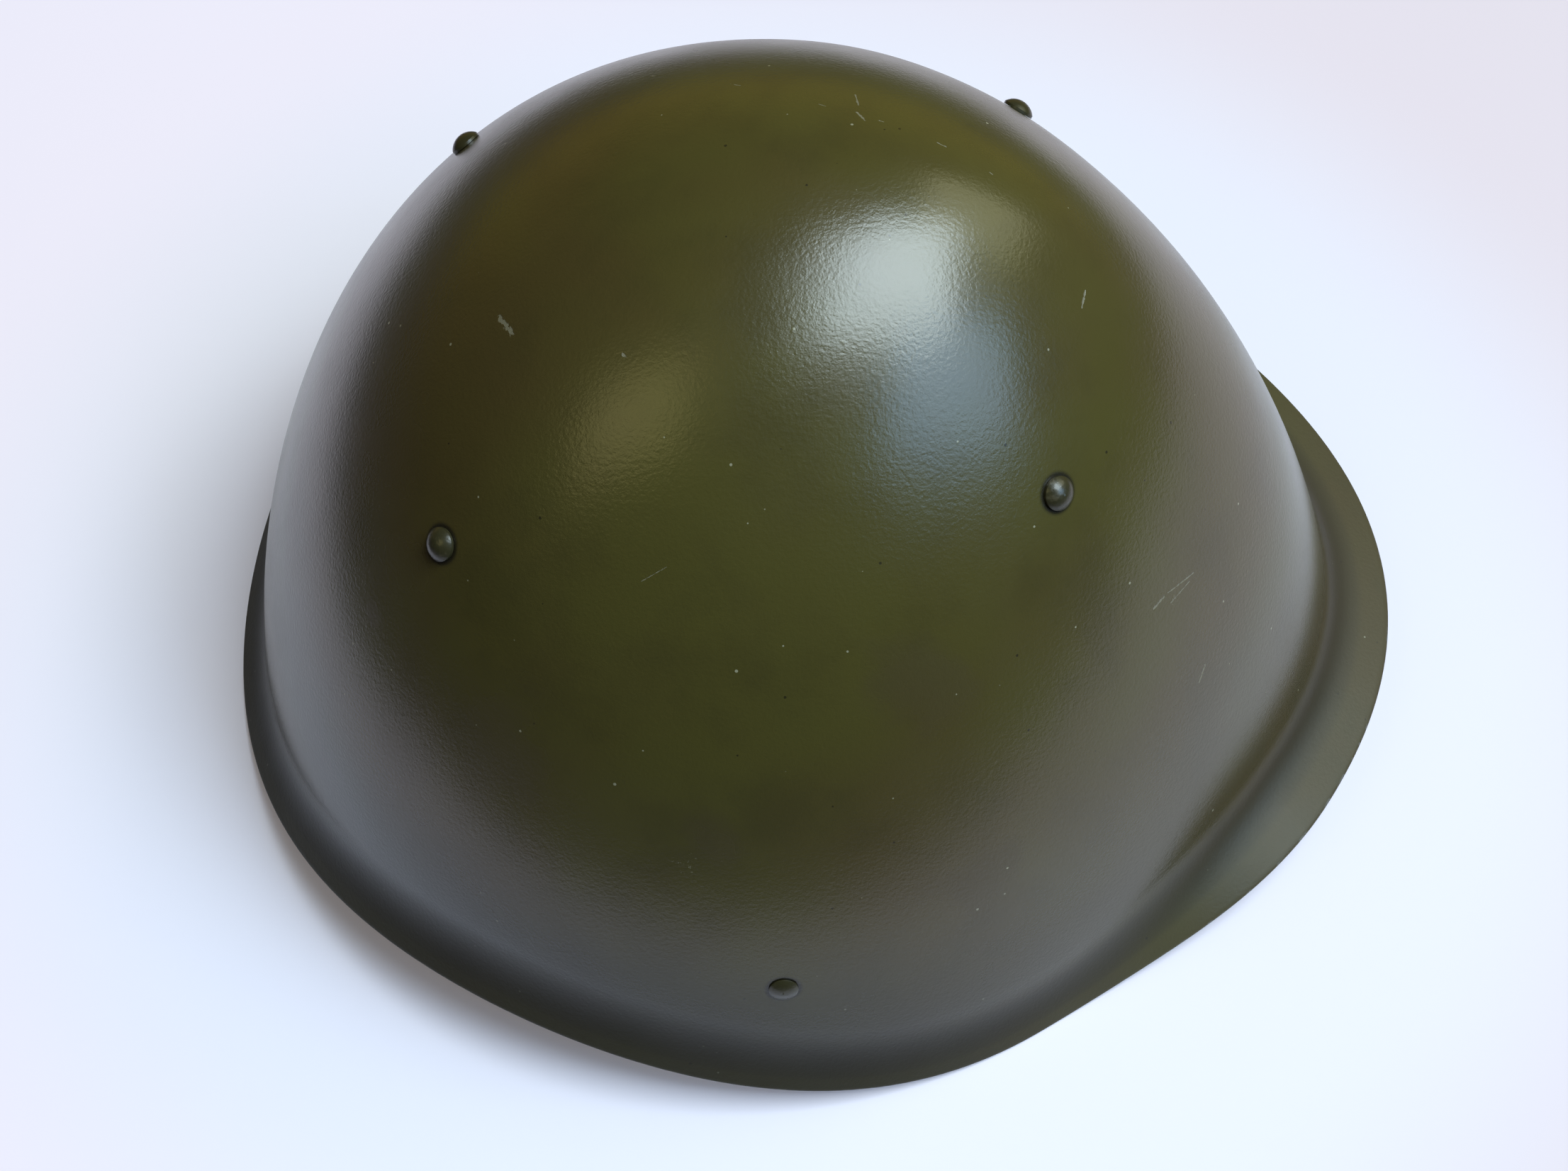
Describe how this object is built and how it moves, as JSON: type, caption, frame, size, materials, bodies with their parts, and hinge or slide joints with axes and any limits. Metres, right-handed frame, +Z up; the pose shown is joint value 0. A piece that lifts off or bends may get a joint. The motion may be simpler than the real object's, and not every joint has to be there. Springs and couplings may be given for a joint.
{
  "type": "steel helmet",
  "caption": "Pressed steel helmet with a short visor and flared brim, hung on a riveted liner with leatherette petals, wadded pads and a buckled leather chinstrap.",
  "frame": {"origin": "middle of the box of the helmet on the surface that it stands on", "axes": "+X forward to the visor, +Y to the wearer's left, +Z up to the crown"},
  "size_m": [0.283, 0.2542, 0.1655],
  "materials": {
    "shell_paint": "olive semi-gloss paint, worn",
    "liner_steel": "dull zinc",
    "leatherette": "brown leatherette",
    "wadding": "cotton cloth over wadding",
    "strap_leather": "waxed brown leather"
  },
  "bodies": {
    "helmet": {"steel_shell": "shell_paint", "crown_rivet_front_left": "shell_paint", "crown_rivet_front_right": "shell_paint", "crown_rivet_rear_left": "shell_paint", "crown_rivet_rear_right": "shell_paint", "spring_front_left": "liner_steel", "spring_front_right": "liner_steel", "spring_rear_left": "liner_steel", "spring_rear_right": "liner_steel", "liner_hoop": "liner_steel", "hoop_rivets": "liner_steel", "head_band": "leatherette", "petal_front": "leatherette", "petal_rear": "leatherette", "petal_left": "leatherette", "petal_right": "leatherette", "petal_eyelets": "liner_steel", "pad_front": "wadding", "pad_rear": "wadding", "pad_left": "wadding", "pad_right": "wadding", "side_rivet_left": "shell_paint", "side_rivet_right": "shell_paint", "strap_bracket_left": "liner_steel", "strap_bracket_right": "liner_steel"},
    "ring_left": {"strap_ring_left": "liner_steel"},
    "ring_right": {"strap_ring_right": "liner_steel"},
    "strap_long": {"strap_long": "strap_leather", "strap_long_rivet": "liner_steel"},
    "strap_short": {"strap_short": "strap_leather", "strap_short_rivet": "liner_steel"},
    "strap_keeper": {"strap_keeper": "strap_leather"},
    "buckle_frame": {"buckle_frame": "liner_steel"},
    "buckle_prong": {"buckle_prong": "liner_steel"}
  },
  "joints": [
    {"name": "ring_left_swing", "type": "hinge", "parent": "helmet", "child": "ring_left", "pos_m": [-0.01015, 0.11595, 0.02816], "axis": [-1, 0, 0], "range_deg": [-6, 25]},
    {"name": "ring_right_swing", "type": "hinge", "parent": "helmet", "child": "ring_right", "pos_m": [-0.01015, -0.11595, 0.02816], "axis": [1, 0, 0], "range_deg": [-6, 18]},
    {"name": "strap_long_swing", "type": "hinge", "parent": "ring_left", "child": "strap_long", "pos_m": [-0.01015, 0.11595, 0.01016], "axis": [-1, 0, 0], "range_deg": [-75, 15]},
    {"name": "strap_short_swing", "type": "hinge", "parent": "ring_right", "child": "strap_short", "pos_m": [-0.01015, -0.11595, 0.01016], "axis": [1, 0, 0], "range_deg": [-75, 10]},
    {"name": "keeper_slide", "type": "slide", "parent": "strap_short", "child": "strap_keeper", "axis": [0, 0.992, -0.1263], "range_m": [-0.009, 0.009]},
    {"name": "buckle_swing", "type": "hinge", "parent": "strap_short", "child": "buckle_frame", "pos_m": [-0.01015, -0.06635, 0.00385], "axis": [1, 0, 0], "range_deg": [-12, 35]},
    {"name": "prong_swing", "type": "hinge", "parent": "buckle_frame", "child": "buckle_prong", "pos_m": [-0.01015, -0.06635, 0.00385], "axis": [1, 0, 0], "range_deg": [0, 60]}
  ]
}
